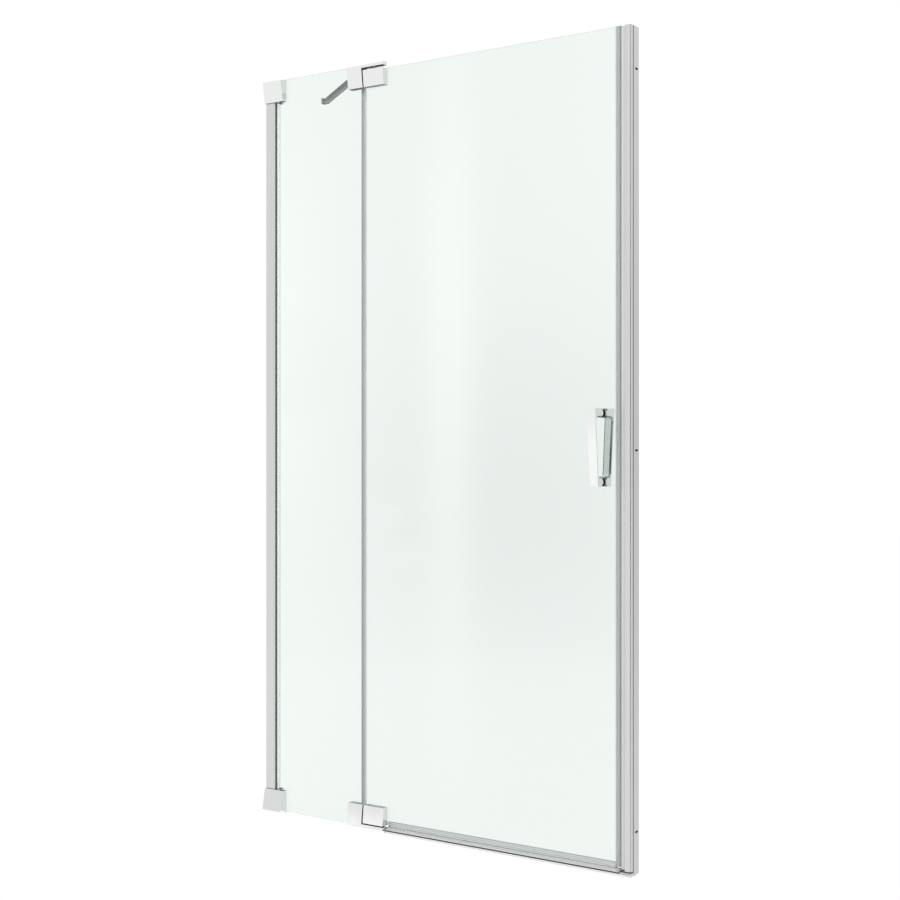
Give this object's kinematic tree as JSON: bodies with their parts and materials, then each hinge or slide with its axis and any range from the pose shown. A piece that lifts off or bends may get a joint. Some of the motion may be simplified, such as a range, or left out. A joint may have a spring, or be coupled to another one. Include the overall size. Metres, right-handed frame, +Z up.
{
  "type": "hinged shower door",
  "caption": "Frameless glass shower door beside a fixed glass pane, on clamp-on pivot hinges, with chrome corner blocks, wall channels, a stabiliser bar and a wedge-shaped handle",
  "frame": {"origin": "mid width between the two walls, in the middle plane of the glass, on the shower tray", "axes": "X runs along the glass from the wall of the fixed pane to the closing wall, -Y is the room side that the door opens to, Z is up"},
  "size_m": [1.1, 0.2834, 1.95],
  "materials": {
    "chrome": "polished chrome plating",
    "bright_aluminium": "bright anodised extrusion",
    "stainless_steel": "plain turned steel",
    "safety_glass": "clear toughened glass with polished edges",
    "black_rubber": "matt black rubber",
    "dark_plastic": "dark moulded plastic",
    "clear_seal": "translucent extruded seal",
    "magnet_strip": "dull magnetic strip"
  },
  "bodies": {
    "frame": {"wall_channel_left": "bright_aluminium", "glazing_gasket_front": "black_rubber", "glazing_gasket_back": "clear_seal", "fixed_glass": "safety_glass", "setting_blocks": "clear_seal", "corner_block_top": "chrome", "corner_block_bottom": "chrome", "corner_block_pads": "black_rubber", "corner_block_screws": "stainless_steel", "hinge_body_top": "chrome", "hinge_body_bottom": "chrome", "hinge_plate_top": "chrome", "hinge_plate_bottom": "chrome", "hinge_body_pads": "black_rubber", "hinge_body_screws": "stainless_steel", "hinge_body_sleeves": "dark_plastic", "pivot_pin_top": "stainless_steel", "pivot_pin_bottom": "stainless_steel", "thrust_washer": "dark_plastic", "panel_edge_seal": "clear_seal", "stabiliser_bar": "chrome", "stabiliser_wall_flange": "chrome", "stabiliser_screws": "stainless_steel", "wall_channel_right": "bright_aluminium", "closing_profile": "bright_aluminium", "closing_profile_caps": "bright_aluminium", "profile_lock_screws": "stainless_steel", "frame_magnet_strip": "magnet_strip", "threshold_bar": "bright_aluminium", "threshold_end_caps": "dark_plastic"},
    "door": {"door_glass": "safety_glass", "hinge_leaf_top": "chrome", "hinge_leaf_bottom": "chrome", "leaf_plate_top": "chrome", "leaf_plate_bottom": "chrome", "hinge_leaf_pads": "black_rubber", "hinge_leaf_screws": "stainless_steel", "hinge_leaf_sleeves": "dark_plastic", "leaf_bush_top": "dark_plastic", "leaf_bush_bottom": "dark_plastic", "handle_outer": "chrome", "handle_inner": "chrome", "handle_studs": "stainless_steel", "handle_rings": "black_rubber", "handle_sleeves": "dark_plastic", "door_magnet_seal": "clear_seal", "door_magnet_strip": "magnet_strip", "door_bottom_seal": "clear_seal"}
  },
  "joints": [
    {"name": "door_hinge", "type": "hinge", "parent": "frame", "child": "door", "pos_m": [-0.18175, -0.017, 0.975], "axis": [0, 0, -1], "range_deg": [0, 110]}
  ]
}
